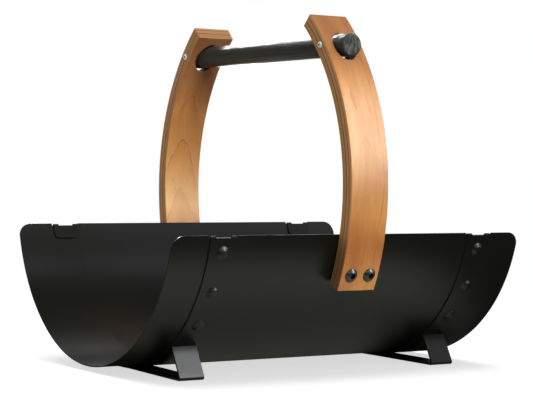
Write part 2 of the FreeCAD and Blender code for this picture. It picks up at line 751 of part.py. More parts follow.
def make_bolt(name, side, step):
    """A button-head bolt through arm and wall."""
    body = new_body(name)
    shank = "(sizes.bolt_diameter / 2)"
    head = "(sizes.bolt_head / 2)"
    edge = f"({ARM_OUTER} + sizes.bolt_head_edge)"
    top = f"({ARM_OUTER} + sizes.bolt_head_height)"
    rise = f"({top} - {edge})"
    dome_centre = f"({top} - ({rise}^2 + {head}^2) / (2 * {rise}))"
    sketch = new_sketch(body, f"{name}_section", "XZ_Plane")
    outline(sketch, [("0", BOLT_TIP), (shank, BOLT_TIP), (shank, ARM_OUTER), (head, ARM_OUTER),
                     (head, edge), ("0", top)], {4: ("0", dome_centre, True)})
    revolve(body, sketch, "Z_Axis")
    socket = new_sketch(body, f"{name}_socket", "XY_Plane", f"({top} + sizes.cut_margin)")
    hexagon(socket, "sizes.bolt_socket")
    cut_to_depth(body, socket, "(sizes.cut_margin + sizes.bolt_socket_depth)")
    place_on_bolt(body, side, step)
    return body


def make_ring(name, side, step, low, thickness):
    """A washer round a bolt."""
    body = new_body(name)
    sketch = new_sketch(body, f"{name}_section", "XY_Plane", low)
    circle(sketch, "0", "0", "sizes.washer_diameter")
    circle(sketch, "0", "0", BOLT_HOLE)
    pad(body, sketch, thickness)
    place_on_bolt(body, side, step)
    return body


def make_nut(name, side, step):
    """A hexagon nut on a bolt."""
    body = new_body(name)
    sketch = new_sketch(body, f"{name}_section", "XY_Plane", NUT_LOW)
    hexagon(sketch, "sizes.nut_width")
    circle(sketch, "0", "0", BOLT_HOLE)
    pad(body, sketch, "sizes.nut_height")
    place_on_bolt(body, side, step)
    return body


def make_arm_fasteners(side):
    """Both bolts of an arm, each with its spacer, washer and nut."""
    pieces = []
    for step, step_name in ((-1, "left"), (1, "right")):
        name = f"{SIDE_NAMES[side]}_{step_name}"
        pieces.append(make_bolt(f"{name}_bolt", side, step))
        pieces.append(make_ring(f"{name}_spacer", side, step, SPACER_LOW, "sizes.spacer_thickness"))
        pieces.append(make_ring(f"{name}_washer", side, step, WASHER_LOW, "sizes.washer_thickness"))
        pieces.append(make_nut(f"{name}_nut", side, step))
    return pieces


# Assembly

def make_carrier():
    """Every piece of the carrier, one object each."""
    pieces = [make_left_panel(), make_centre_panel(), make_right_panel()]
    for seam, row, radius in (("left", LEFT_ROW, CENTRE_RADIUS), ("right", RIGHT_ROW, RIGHT_RADIUS)):
        pieces.append(make_foot(seam, row, radius))
        pieces.append(make_foot_rivets(seam, row, radius))
        for side in SIDE_NAMES:
            pieces.append(make_seam_rivets(seam, row, radius, side))
    pieces.append(make_bar())
    for side in SIDE_NAMES:
        pieces.append(make_arm(side))
        pieces.append(make_screw(side))
        pieces.extend(make_arm_fasteners(side))
    return pieces


def check(pieces):
    """Stop if any object failed or any piece's shape can't be used."""
    for item in doc.Objects:
        if "Invalid" in item.State or "Error" in item.State:
            raise RuntimeError(f"{item.Label} failed: {item.State}")
    for piece in pieces:
        if piece.Shape.isNull() or not piece.Shape.isValid() or not piece.Shape.Solids:
            raise RuntimeError(f"{piece.Label} has no usable shape")


carrier = make_carrier()
doc.recompute()
check(carrier)
os.makedirs("parts", exist_ok=True)
for piece in carrier:
    piece.Shape.exportStep(f"parts/{piece.Label}.step")
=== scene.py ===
import json
import math
import re

import bmesh
import bpy
from mathutils import Matrix, Vector

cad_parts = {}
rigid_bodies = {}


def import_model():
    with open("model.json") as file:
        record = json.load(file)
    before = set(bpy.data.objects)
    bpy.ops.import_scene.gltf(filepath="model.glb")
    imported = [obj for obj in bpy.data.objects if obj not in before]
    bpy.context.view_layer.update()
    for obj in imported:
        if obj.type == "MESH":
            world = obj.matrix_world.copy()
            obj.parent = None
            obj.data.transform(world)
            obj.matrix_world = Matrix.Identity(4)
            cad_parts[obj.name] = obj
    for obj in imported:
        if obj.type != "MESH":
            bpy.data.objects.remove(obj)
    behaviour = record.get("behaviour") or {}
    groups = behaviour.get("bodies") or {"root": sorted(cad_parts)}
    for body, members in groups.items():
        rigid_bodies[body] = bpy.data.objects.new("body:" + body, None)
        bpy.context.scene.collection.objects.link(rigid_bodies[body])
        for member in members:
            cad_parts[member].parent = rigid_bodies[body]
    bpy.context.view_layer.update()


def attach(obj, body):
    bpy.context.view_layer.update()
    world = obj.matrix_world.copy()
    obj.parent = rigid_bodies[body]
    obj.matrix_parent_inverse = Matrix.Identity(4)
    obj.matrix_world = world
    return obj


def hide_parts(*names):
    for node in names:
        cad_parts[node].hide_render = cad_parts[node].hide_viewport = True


# Looks of the log carrier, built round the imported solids. The object's sizes are in millimetres and repeat
# the solids' own values: +X along the trough, front arm on -Y, floor at Z = 0. The stage is in metres.

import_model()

MM = 0.001
ROOT = "root"
SIDES = {"front": -1, "rear": 1}

# Trough: three rolled sheets, lapped like shingles
AXIS_Z = 177.3
RIM_BELOW_AXIS = 33.2
LEFT_RADIUS = 172.0
CENTRE_RADIUS = 173.3
RIGHT_RADIUS = 174.6
SHEET = 1.2
LAP_GAP = 0.1
LAP = 30.0
HALF_LENGTH = 210.0
LEFT_LAP = -168.7
RIGHT_LAP = 142.2
SEAMS = (("left", LEFT_LAP + LAP / 2, CENTRE_RADIUS), ("right", RIGHT_LAP + LAP / 2, RIGHT_RADIUS))
CORNER = 13.5
PAST_CORNER = 2.0
SHEET_EASE = 0.3

# Rows of a sheet's mesh round the trough: those near the rim follow its notches and corners
RIM_ZONE = RIM_BELOW_AXIS + CORNER + 3.0
RIM_ROWS = 8
WALL_ROWS = 110
COLUMN_PITCH = 8.0
CORNER_STEPS = 7
# The first column past an edge, which leaves room for the edge's rounding
FIRST_INSET = 0.38

# Folded rim tabs, with a slot along the bend
NOTCH_CLEARANCE = 1.5
NOTCH_SLOPE = 0.7
TAB_SPRING = 0.9
TAB_LENGTH = 14.5
TAB_EAR = 6.0
TAB_CORNER = 6.0
TAB_BELOW_RIM = 0.5
TAB_ROWS = 8
SLOT_EASE = 1.0
BEND = 1.5 * SHEET + LAP_GAP
BEND_BELOW_AXIS = RIM_BELOW_AXIS + TAB_BELOW_RIM + BEND
BEND_ROWS = 10
FOLD = BEND - SHEET / 2
FOLD_LENGTH = math.pi * FOLD

# Rivets: a bell-shaped crown on a thin brim in the seams, and flush heads under the feet
RIVET_ANGLES = (45.0, 59.1, 73.2)
RIVET_HEAD = 6.8
RIVET_HEIGHT = 2.8
RIVET_CROWN = 6.7
RIVET_SWELL = 2.1
RIVET_SHANK = 2.5
RIVET_SEGMENTS = 40
CROWN_ROWS = 16
BRIM = 0.3
BRIM_PROFILE = [(RIVET_HEAD - 0.05, 0.26), (RIVET_HEAD, 0.18), (RIVET_HEAD, 0.0), (RIVET_SHANK, 0.0),
                (RIVET_SHANK, -SHEET), (0, -SHEET)]
FLUSH_STEP = 7.0
FLUSH_SEGMENTS = 32
FLUSH_PROFILE = [(0, 0.0), (4.1, 0.0), (4.2, 0.08), (2.5, 1.7), (2.5, 3.2), (0, 3.2)]

# Feet: straps with a flat under the sheet, sloping runs, round bends on the floor and leaning legs
FOOT_WIDTH = 28.0
FOOT_THICKNESS = 2.0
FOOT_SPAN = 225.0
FOOT_FLAT = 24.0
FOOT_LEAN = math.radians(29.2)
FOOT_BEND = 0.8
FOOT_GAP = 0.1
FOOT_TURN = 1.0
FOOT_EASE = 0.35
FOOT_COLUMNS = 4
FLAT_ROWS = 4
RUN_ROWS = 10
TURN_ROWS = 14
LEG_ROWS = 6

# Arms: bent about an axis past the trough's middle, with a slot for the bar
ARM_INNER = 225.9
ARM_THICKNESS = 15.78
ARM_OUTER = ARM_INNER + ARM_THICKNESS
ARM_MIDDLE = ARM_INNER + ARM_THICKNESS / 2
ARM_WIDTH = 44.8
ARM_EASE = 0.8
ARM_GAP = 1.5
ARM_SEAT = math.radians(11.9)
ARM_OFFSET = ARM_INNER - ARM_GAP - CENTRE_RADIUS
ARM_Y = ARM_OFFSET * math.cos(ARM_SEAT)
ARM_Z = AXIS_Z + ARM_OFFSET * math.sin(ARM_SEAT)
ARM_BOTTOM = math.radians(-24.5)
ARM_TOP = math.radians(47.13)
ARM_COLUMNS = 14
ROWS_BELOW_PATCH = 72
ROWS_ABOVE_PATCH = 4
PATCH_ROWS = 14
HOLE_PATCH = 20.2
HOLE_RINGS = (0.3, 0.58, 0.8, 0.93, 1.0)

BAR_RADIUS = 11.7
BAR_ANGLE = math.radians(38.3)
BAR_RISE = ARM_MIDDLE * math.sin(BAR_ANGLE)
BAR_Z = ARM_Z + BAR_RISE
BAR_STUB = 14.3
BAR_REACH = math.sqrt(ARM_OUTER ** 2 - BAR_RISE ** 2) - ARM_Y + BAR_STUB
BAR_EDGE = 1.6
BAR_EDGE_ROWS = 8
BAR_ROWS = 24
BAR_END_RINGS = (7.0, 3.5, 0.0)
BAR_SEGMENTS = 96
SLOT_HALF = BAR_RADIUS + 0.4
SLOT_HEIGHT = 27.4
SLOT_ABOVE_BAR = 0.8
SLOT_MIDDLE = BAR_RISE + BAR_RADIUS + SLOT_ABOVE_BAR - SLOT_HEIGHT / 2
SCREW_Y = ARM_MIDDLE * math.cos(BAR_ANGLE) - ARM_Y

# Bolts, from the arm through a spacer and the sheet to a washer and a nut
BOLT_FALL = math.radians(20.4)
BOLT_STEP = 11.0
BOLT_TURN = BOLT_FALL - ARM_SEAT
BOLT_WALL = (ARM_OFFSET * math.cos(BOLT_TURN)
             + math.sqrt(CENTRE_RADIUS ** 2 - (ARM_OFFSET * math.sin(BOLT_TURN)) ** 2))
BOLT_HOLE = 4.25
SPACER = 1.5
SPACER_PLAY = 0.15
SPACER_LEVEL = ARM_INNER - SPACER_PLAY - SPACER
WASHER = 1.6
WASHER_RADIUS = 8.0
WASHER_PLAY = 0.85
WASHER_LEVEL = BOLT_WALL - SHEET - WASHER_PLAY - WASHER
NUT = 6.5
NUT_HALF = 6.5
NUT_FACE = NUT_HALF * 0.95
NUT_SLOPE = 0.6
NUT_LEVEL = WASHER_LEVEL - NUT
BOLT_PAST_NUT = 2.0
RING_EASE = 0.2
CHAMFER = 0.6
BOLT = {"head": 7.0, "height": 4.4, "edge": 0.9, "socket": 5.0, "depth": 2.6, "shank": 4.0,
        "length": ARM_OUTER - NUT_LEVEL + BOLT_PAST_NUT}
SCREW = {"head": 3.3, "height": 1.75, "edge": 0.3, "socket": 2.5, "depth": 1.2, "shank": 2.0,
         "length": ARM_WIDTH / 2 - 1.0}
# A socket's cone, lip and cap as shares of its width, and the lip's depths as shares of the head's radius
SOCKET_CONE = 0.25
SOCKET_LIP = 1.07
CAP_START = 0.66
LIP_DEPTHS = (0.06, 0.015)
CAP_ROWS = 8

# Points round a turned piece, and the angle from which an edge is sharp
SEGMENTS = 48
SHARP = 38.0
NUT_SHARP = 30.0

# Wood of the arms: one long knot, peaks of growth lines on the inner faces, a long line on the outer ones
KNOT_ACROSS = -9.8
KNOT_ALONG = 87.0
KNOT_HALF_WIDTH = 2.6
KNOT_HALF_LENGTH = 11.0
KNOT_LEAN = 0.12
PEAK_ACROSS = -3.0
PEAK_SLANT = 1.9
PEAK_SHARE = 0.58
RINGS_PER_METRE = 17.0
LONG_LINE_ACROSS = 22.5
LONG_LINE_SHARE = 0.42
PLY_COUNT = 6.0
# Veneer's colours by tone, and the edge's colours through the thickness, with dark glue lines
VENEER = [(0.37, (0.320, 0.124, 0.030)), (0.48, (0.385, 0.157, 0.038)), (0.59, (0.470, 0.205, 0.055))]
PLIES = [(0.0, (0.36, 0.170, 0.058)), (0.20, (0.25, 0.121, 0.044)), (0.34, (0.34, 0.172, 0.064)),
         (0.45, (0.06, 0.030, 0.012)), (0.50, (0.34, 0.178, 0.070)), (0.70, (0.30, 0.155, 0.058)),
         (0.76, (0.07, 0.034, 0.014)), (0.81, (0.36, 0.183, 0.067)), (1.0, (0.40, 0.190, 0.067))]
PLY_FIBRE = (0.13, 0.060, 0.022)
# Painted shade on the plies towards the foot, and in the bar's slot
PLY_SHADE = (0.045, 0.020, 0.007)
SLOT_SHADE = (0.030, 0.013, 0.006)
# Tints over the veneer, one on the other: how much shows at most, and the colour. Some are painted light
# and shade: top and band darken and redden the arms high up and low down, partly as the wood's own tone and
# partly as painted shade; on the inner faces, pale is a painted highlight, foot painted reflected light and
# crown painted shade near the top
TINTS = {
    "top": (0.38, (0.082, 0.033, 0.037)),
    "band": (0.45, (0.19, 0.035, 0.0025)),
    "pale": (0.40, (0.715, 0.338, 0.080)),
    "foot": (0.40, (0.88, 0.55, 0.23)),
    "crown": (0.20, (0.03, 0.012, 0.006)),
    "inner": (0.15, (0.46, 0.19, 0.11)),
    "late": (0.14, (0.20, 0.062, 0.014)),
    "flecks": (0.30, (0.17, 0.055, 0.014)),
    "knot": (0.45, (0.25, 0.075, 0.018)),
    "line": (1.0, (0.140, 0.042, 0.012)),
}
END_GRAIN = [(0.38, (0.004, 0.004, 0.004)), (0.52, (0.028, 0.028, 0.028)), (0.68, (0.105, 0.105, 0.104))]
# Depth of a fine skin's bump, in metres
SKIN = 0.0002

WHITE = (1.0, 1.0, 1.0)
COOL = (0.94, 0.97, 1.0)
# The studio as gloss shows it: brightness by angle from the front, over the top, to the back
STUDIO = [(0.0, 0.1), (13.0, 0.5), (24.0, 2.5), (31.0, 0.0), (40.0, 0.0), (50.0, 2.2), (60.0, 0.1),
          (95.0, 0.08), (106.0, 0.15), (118.0, 0.42), (130.0, 0.5), (142.0, 0.15), (180.0, 0.10)]
STUDIO_TINT = (0.95, 1.0, 1.04)
AMBIENT = 0.60
AMBIENT_STRENGTH = 0.35
# The floor: size, where it turns plain white, and light that the camera sees on it besides the lamps
FLOOR_SIZE = 30.0
FLOOR_FAR = (0.45, 1.0)
FLOOR_LIFT = 0.66
FLOOR_PALE = (0.86, 0.86, 0.86)
FLOOR_DARK = (0.06, 0.06, 0.06)
# Where gloss sees the floor turn from dark to pale, a painted pool of light round the object:
# at the front, to the right and to the left
DARK_FRONT = (-0.37, -0.25)
DARK_RIGHT = (0.26, 0.15)
DARK_LEFT = (-0.30, -0.20)
# Glow of the floor in gloss, from none to full: before the object, under it, and far behind it
GLOW_BEFORE = (-0.37, -0.21)
GLOW_UNDER = (0.025, -0.21)
GLOW_BEHIND = (0.30, 0.50, 0.0, 0.7)
GLOW_COLOUR = (0.47, 0.47, 0.395)
# Painted shadow on the floor at the feet, seen by gloss alone, from none to full: across the floor, and along
# it
FOOT_SHADOW_PAINTED = (((-0.115, -0.150), (-0.110, -0.050)), ((0.085, 0.140), (-0.150, -0.060)))
FOOT_SHADOW_DEPTH = 0.9
# A bright panel behind the object that gloss shows
BACKDROP_PLACE = (0.65, 1.0, 0.65)
BACKDROP_SIZE = (1.9, 1.3)
BACKDROP_GLOW = 3.6
# Soft boxes: place, aim, size, power, colour, a kind of light that isn't given, pattern of the names lit
TOP = ((0.0, 0.1, 1.7), (0.0, 0.0, 0.0), (1.8, 1.4))
TALL = ((0.92, -1.40, 0.93), (0.0, 0.0, 0.5), (0.5, 1.2))
CARRIER = "^(?!floor|backdrop)"
LIGHTS = {
    "overhead": (*TOP, 12.0, WHITE, "glossy", None),
    "ground": (*TOP, 14.0, WHITE, None, "^floor$"),
    "front": ((-0.9, -4.0, 2.15), (0.0, 0.0, 0.25), (2.2, 1.8), 255.0, WHITE, "glossy", CARRIER),
    "back": ((1.2, 4.0, 1.9), (0.0, 0.0, 0.25), (2.2, 1.8), 150.0, WHITE, "glossy", CARRIER),
    "left": ((-1.7, 0.8, 0.6), (0.0, 0.0, 0.2), (0.8, 0.8), 10.0, WHITE, "glossy", CARRIER),
    "front_right": (*TALL, 41.0, (0.93, 1.0, 0.89), "diffuse", "arm|bar|bolt|screw"),
    "sheen": (*TALL, 32.0, (0.96, 0.98, 1.0), "diffuse", "left_strap|right_front_rivet"),
    "glint": ((0.70, -0.98, 0.75), (-0.15, -0.15, 0.15), (0.6, 1.1), 42.0, COOL, "diffuse",
              "left_front_rivet"),
    "corner": ((0.15, 1.0, 0.75), (-0.2, -0.17, 0.14), (0.3, 0.3), 9.0, COOL, "diffuse", "left_sheet"),
    "behind": (BACKDROP_PLACE, (0.0, 0.0, 0.3), BACKDROP_SIZE, 150.0, WHITE, "diffuse", "round_bar"),
}
# The camera: its turn about Z from straight ahead, its rise and roll, its aim and distance in millimetres
VIEW_TURN = math.radians(32.98)
VIEW_RISE = math.radians(1.12)
VIEW_ROLL = math.radians(0.78)
VIEW_TARGET = (2.93, 0.0, 171.9)
VIEW_DISTANCE = 1863.4
SENSOR = 36.0
LENS = 116.86


# Node helpers

class Nodes:
    """A node tree of a material or the world, with short calls to add and link nodes."""

    def __init__(self, owner):
        owner.use_nodes = True
        self.owner = owner
        self.tree = owner.node_tree

    def add(self, kind, inputs=None, **settings):
        """Add a node, set its properties, and set or link its inputs."""
        node = self.tree.nodes.new(kind)
        for key, setting in settings.items():
            setattr(node, key, setting)
        for key, source in (inputs or {}).items():
            self.set(node.inputs[key], source)
        return node

    def set(self, socket, source):
        """Link a socket to another node's output, or give it a value."""
        if isinstance(source, bpy.types.NodeSocket):
            self.tree.links.new(source, socket)
        else:
            socket.default_value = source

    def math(self, operation, first, second=0.0):
        """One Math node's result."""
        return self.add("ShaderNodeMath", {0: first, 1: second}, operation=operation).outputs[0]

    def plus(self, first, second):
        """A sum."""
        return self.math("ADD", first, second)

    def minus(self, first, second):
        """A difference."""
        return self.math("SUBTRACT", first, second)

    def times(self, first, *others):
        """A product of two or more numbers."""
        for other in others:
            first = self.math("MULTIPLY", first, other)
        return first

    def over(self, first, second):
        """A quotient."""
        return self.math("DIVIDE", first, second)

    def distance(self, first, second):
        """How far two numbers reach at right angles."""
        return self.math("SQRT", self.plus(self.times(first, first), self.times(second, second)))

    def steps(self, source, low, high, to_low=0.0, to_high=1.0, kind="SMOOTHSTEP"):
        """A smooth step of a number between two limits, or a linear one."""
        node = self.add("ShaderNodeMapRange", {"Value": source, "From Min": low, "From Max": high,
                                               "To Min": to_low, "To Max": to_high}, interpolation_type=kind)
        return node.outputs["Result"]

    def noise(self, vector, scale, detail=2.0, roughness=0.5, distortion=0.0):
        """A noise texture's factor."""
        node = self.add("ShaderNodeTexNoise", {"Vector": vector, "Scale": scale, "Detail": detail,
                                               "Roughness": roughness, "Distortion": distortion})
        return node.outputs["Fac"]

    def stretched(self, numbers, scales, *quality):
        """Noise over three numbers, each with a scale of its own."""
        scaled = {i: self.times(number, scale) for i, (number, scale) in enumerate(zip(numbers, scales))}
        return self.noise(self.add("ShaderNodeCombineXYZ", scaled).outputs[0], 1.0, *quality)

    def ramp(self, source, stops):
        """Colours along a number, as pairs of place and colour."""
        node = self.add("ShaderNodeValToRGB", {"Fac": source})
        while len(node.color_ramp.elements) < len(stops):
            node.color_ramp.elements.new(0.5)
        for element, (place, colour) in zip(node.color_ramp.elements, stops):
            element.position = place
            element.color = (*colour, 1.0)
        return node.outputs["Color"]

    def mix(self, factor, first, second):
        """A blend of two colours."""
        node = self.add("ShaderNodeMix", data_type="RGBA")
        self.set(node.inputs[0], factor)
        for index, source in ((6, first), (7, second)):
            self.set(node.inputs[index], (*source, 1.0) if isinstance(source, tuple) else source)
        return node.outputs[2]

    def coordinates(self, kind="Object"):
        """A place on the object, or a direction to the world."""
        return self.add("ShaderNodeTexCoord").outputs[kind]

    def split(self, coordinates):
        """Coordinates as three numbers."""
        return tuple(self.add("ShaderNodeSeparateXYZ", {0: coordinates}).outputs)

    def bump(self, height, strength, distance):
        """A normal from a height."""
        node = self.add("ShaderNodeBump", {"Height": height, "Strength": strength, "Distance": distance})
        return node.outputs["Normal"]

    def emission(self, colour, strength=1.0):
        """Plain light."""
        return self.add("ShaderNodeEmission", {"Color": (*colour, 1.0), "Strength": strength}).outputs[0]

    def background(self, colour, strength=1.0):
        """Light from the world."""
        return self.add("ShaderNodeBackground", {"Color": colour, "Strength": strength}).outputs[0]

    def both(self, first, second):
        """Two shaders added."""
        return self.add("ShaderNodeAddShader", {0: first, 1: second}).outputs[0]

    def either(self, factor, first, second):
        """Two shaders mixed."""
        return self.add("ShaderNodeMixShader", {0: factor, 1: first, 2: second}).outputs[0]

    def surface(self, shader, output="Material Output"):
        """Make a shader the surface."""
        self.tree.links.new(shader, self.tree.nodes[output].inputs["Surface"])

    def finish(self, **values):
        """Set the material's inputs, and return it."""
        for key, value in values.items():
            self.set(self.tree.nodes["Principled BSDF"].inputs[key.replace("_", " ")], value)
        return self.owner


def material_nodes(name):
    """The nodes of a new material."""
    return Nodes(bpy.data.materials.new(name))


# Materials

def black_paint():
    """Satin black powder coat: a fine skin, slight cloudiness in gloss and tone."""
    nodes = material_nodes("black_paint")
    coordinates = nodes.coordinates()
    cloud = nodes.noise(coordinates, 9.0, 3.0)
    skin = nodes.noise(coordinates, 1700.0, 2.0, 0.6)
    return nodes.finish(Base_Color=nodes.mix(cloud, (0.0032, 0.0034, 0.0024), (0.0044, 0.0046, 0.0033)),
                        Roughness=nodes.steps(cloud, 0.25, 0.75, 0.32, 0.37),
                        Normal=nodes.bump(skin, 0.06, SKIN), Specular_IOR_Level=0.3)


def arm_wood():
    """Lacquered bent plywood: the grain follows the bend, the edges show the plies, and painted light and
    shade lie over parts of them.
    """
    nodes = material_nodes("arm_wood")
    across, along, up = nodes.split(nodes.coordinates())
    out = nodes.plus(nodes.math("ABSOLUTE", along), ARM_Y * MM)
    rise = nodes.minus(up, ARM_Z * MM)
    depth = nodes.over(nodes.minus(nodes.distance(out, rise), ARM_INNER * MM), ARM_THICKNESS * MM)
    length = nodes.times(nodes.math("ARCTAN2", rise, out), ARM_MIDDLE * MM)
    side = nodes.math("SIGN", along)
    outside = nodes.steps(depth, 0.4, 0.6)
    within = nodes.minus(1.0, outside)

    # Veneer: long streaks, fine fibres, clouds and short flecks, other ones on each arm and ply
    ply = nodes.math("FLOOR", nodes.times(depth, PLY_COUNT))
    shift = nodes.plus(nodes.times(side, 1.7), nodes.times(ply, 0.37))

    def veneer(wide, long, *quality):
        return nodes.stretched((across, length, shift), (wide, long, 1.0), *quality)

    streaks = veneer(55.0, 5.0, 4.0, 0.55, 0.3)
    fibres = veneer(900.0, 45.0, 3.0, 0.6)
    clouds = veneer(26.0, 16.0)
    flecks = nodes.steps(veneer(620.0, 70.0, 1.0), 0.66, 0.76)

    # Growth lines: peaks on the inner faces, one long line near an edge of the outer ones
    wander = nodes.plus(nodes.times(veneer(30.0, 12.0), 0.045), nodes.times(veneer(220.0, 70.0), 0.011))
    beside = nodes.minus(across, PEAK_ACROSS * MM)
    blunt = nodes.plus(nodes.times(beside, beside), 0.0000025)
    bow = nodes.times(nodes.math("SQRT", blunt), PEAK_SLANT)
    growth = nodes.plus(nodes.plus(length, bow), wander)
    ring = nodes.math("FRACT", nodes.times(nodes.plus(growth, shift), RINGS_PER_METRE))
    late = nodes.times(nodes.steps(ring, 0.45, 0.98), nodes.steps(ring, 1.0, 0.985))
    strength = nodes.steps(veneer(70.0, 40.0), 0.36, 0.62)
    peak = nodes.times(nodes.steps(ring, 0.945, 0.985), nodes.steps(ring, 1.0, 0.99), strength, within)
    sway = nodes.times(veneer(14.0, 9.0), 0.014)
    offset = nodes.math("ABSOLUTE", nodes.minus(nodes.plus(across, sway), LONG_LINE_ACROSS * MM))
    long_line = nodes.times(nodes.steps(offset, 0.0011, 0.0002), outside, strength)
    line = nodes.plus(nodes.times(peak, PEAK_SHARE), nodes.times(long_line, LONG_LINE_SHARE))

    # The knot, on the front arm's outer face
    beyond = nodes.minus(length, KNOT_ALONG * MM)
    lean = nodes.plus(across, nodes.times(beyond, KNOT_LEAN))
    knot = nodes.distance(nodes.over(nodes.minus(lean, KNOT_ACROSS * MM), KNOT_HALF_WIDTH * MM),
                          nodes.over(beyond, KNOT_HALF_LENGTH * MM))
    knot = nodes.plus(knot, nodes.times(nodes.minus(streaks, 0.5), 0.8))
    front_face = nodes.times(outside, nodes.steps(side, 0.5, -0.5))

    tone = nodes.plus(nodes.times(streaks, 0.45), nodes.times(fibres, 0.2))
    tone = nodes.plus(tone, nodes.times(clouds, 0.35))
    face = nodes.ramp(tone, VENEER)

    # Where each tint shows, by height in metres, by depth or by the marks above
    off_band = nodes.math("ABSOLUTE", nodes.minus(up, 0.132))
    off_pale = nodes.math("ABSOLUTE", nodes.minus(up, 0.200))
    shares = {
        # Darker and redder high up: partly the wood's own tone, partly painted shade
        "top": nodes.steps(up, 0.285, 0.345),
        # Darker and redder low down: partly the wood's own tone, partly painted shade
        "band": nodes.steps(off_band, 0.036, 0.0),
        # Painted highlight on the inner faces, around 0.2 m up
        "pale": nodes.times(nodes.steps(off_pale, 0.085, 0.010), within),
        # Painted reflected light, orange, on the inner faces low down
        "foot": nodes.times(nodes.steps(up, 0.245, 0.165), within, nodes.steps(up, 0.142, 0.168)),
        # Painted shade on the inner faces near the top
        "crown": nodes.times(nodes.steps(up, 0.268, 0.292), within),
        "inner": nodes.steps(depth, 0.6, 0.4),
        "late": late,
        "flecks": flecks,
        "knot": nodes.times(nodes.steps(knot, 1.05, 0.65), front_face),
        "line": line,
    }
    for name, (most, tint) in TINTS.items():
        face = nodes.mix(nodes.times(shares[name], most), face, tint)

    # Plies: fibres along them, with painted shade towards the foot and in the bar's slot
    plies = nodes.ramp(depth, PLIES)
    edge_fibre = nodes.stretched((depth, length, shift), (26.0, 60.0, 1.0), 3.0)
    plies = nodes.mix(nodes.steps(edge_fibre, 0.35, 0.7, 0.0, 0.35), plies, PLY_FIBRE)
    plies = nodes.mix(nodes.steps(up, 0.155, 0.115, 0.0, 0.6), plies, PLY_SHADE)
    skin = nodes.math("MINIMUM", depth, nodes.minus(1.0, depth))
    inside = nodes.steps(skin, 0.012, 0.045)
    in_slot = nodes.steps(nodes.distance(across, nodes.minus(up, BAR_Z * MM)), 0.0215, 0.0185)
    plies = nodes.mix(in_slot, plies, SLOT_SHADE)

    gloss = nodes.steps(tone, 0.3, 0.7, 0.40, 0.33)
    shine = nodes.minus(nodes.steps(depth, 0.4, 0.6, 0.2, 0.35), nodes.times(in_slot, inside, 0.2))
    height = nodes.plus(fibres, nodes.times(line, -0.6))
    return nodes.finish(Base_Color=nodes.mix(inside, face, plies), Specular_IOR_Level=shine,
                        Roughness=nodes.plus(gloss, nodes.times(inside, 0.3)),
                        Normal=nodes.bump(height, 0.10, SKIN))


def bar_place(nodes):
    """Numbers across the bar, along it and above its axis."""
    across, along, up = nodes.split(nodes.coordinates())
    return across, along, nodes.minus(up, BAR_Z * MM)


def bar_wood():
    """Turned wooden bar in black gloss lacquer, with the grain showing faintly."""
    nodes = material_nodes("bar_wood")
    grain = nodes.stretched(bar_place(nodes), (400.0, 12.0, 400.0), 3.0)
    return nodes.finish(Base_Color=nodes.mix(grain, (0.019, 0.0195, 0.0163), (0.0275, 0.0280, 0.0232)),
                        Roughness=nodes.steps(grain, 0.3, 0.7, 0.20, 0.26),
                        Normal=nodes.bump(grain, 0.10, 0.0003), Specular_IOR_Level=0.13)


def bar_end_wood():
    """End grain under a thin black lacquer: upright streaks of open pores."""
    nodes = material_nodes("bar_end_wood")
    place = bar_place(nodes)
    pores = nodes.stretched(place, (1100.0, 30.0, 170.0), 3.0, 0.7)
    wear = nodes.stretched(place, (150.0, 1.0, 90.0))
    streak = nodes.plus(pores, nodes.times(nodes.minus(wear, 0.5), 0.5))
    return nodes.finish(Base_Color=nodes.ramp(streak, END_GRAIN),
                        Roughness=nodes.steps(pores, 0.4, 0.6, 0.62, 0.5),
                        Normal=nodes.bump(pores, 0.35, 0.0004), Specular_IOR_Level=0.15)


def clouded(name, scale, dark, light, rough, skin=None, **values):
    """A finish with small clouds in tone and gloss, and a fine skin given as its scale and strength."""
    nodes = material_nodes(name)
    coordinates = nodes.coordinates()
    cloud = nodes.noise(coordinates, scale, 3.0)
    if skin:
        values["Normal"] = nodes.bump(nodes.noise(coordinates, skin[0]), skin[1], SKIN)
    return nodes.finish(Base_Color=nodes.mix(cloud, dark, light),
                        Roughness=nodes.steps(cloud, 0.3, 0.7, *rough), **values)


def zinc():
    """Bright zinc plate with slight clouding."""
    return clouded("zinc", 500.0, (0.66, 0.67, 0.68), (0.80, 0.81, 0.82), (0.22, 0.36), (2600.0, 0.05),
                   Metallic=0.55)


def black_oxide():
    """Black oxide on steel: dark, fairly smooth, slightly mottled."""
    return clouded("black_oxide", 420.0, (0.010, 0.010, 0.010), (0.018, 0.018, 0.017), (0.22, 0.30),
                   (2200.0, 0.06))


def socket_black():
    """The same oxide deep in a bolt's socket, darkened as painted shade, and matt."""
    return clouded("socket_black", 900.0, (0.0015, 0.0015, 0.0015), (0.0040, 0.0040, 0.0038), (0.6, 0.8),
                   Specular_IOR_Level=0.1)


def spacer_plastic():
    """Dark nylon with a fine moulded grain."""
    nodes = material_nodes("spacer_plastic")
    grain = nodes.noise(nodes.coordinates(), 1500.0)
    return nodes.finish(Base_Color=nodes.mix(grain, (0.014, 0.014, 0.014), (0.026, 0.026, 0.026)),
                        Normal=nodes.bump(grain, 0.15, SKIN), Roughness=0.55)


# Mesh helpers

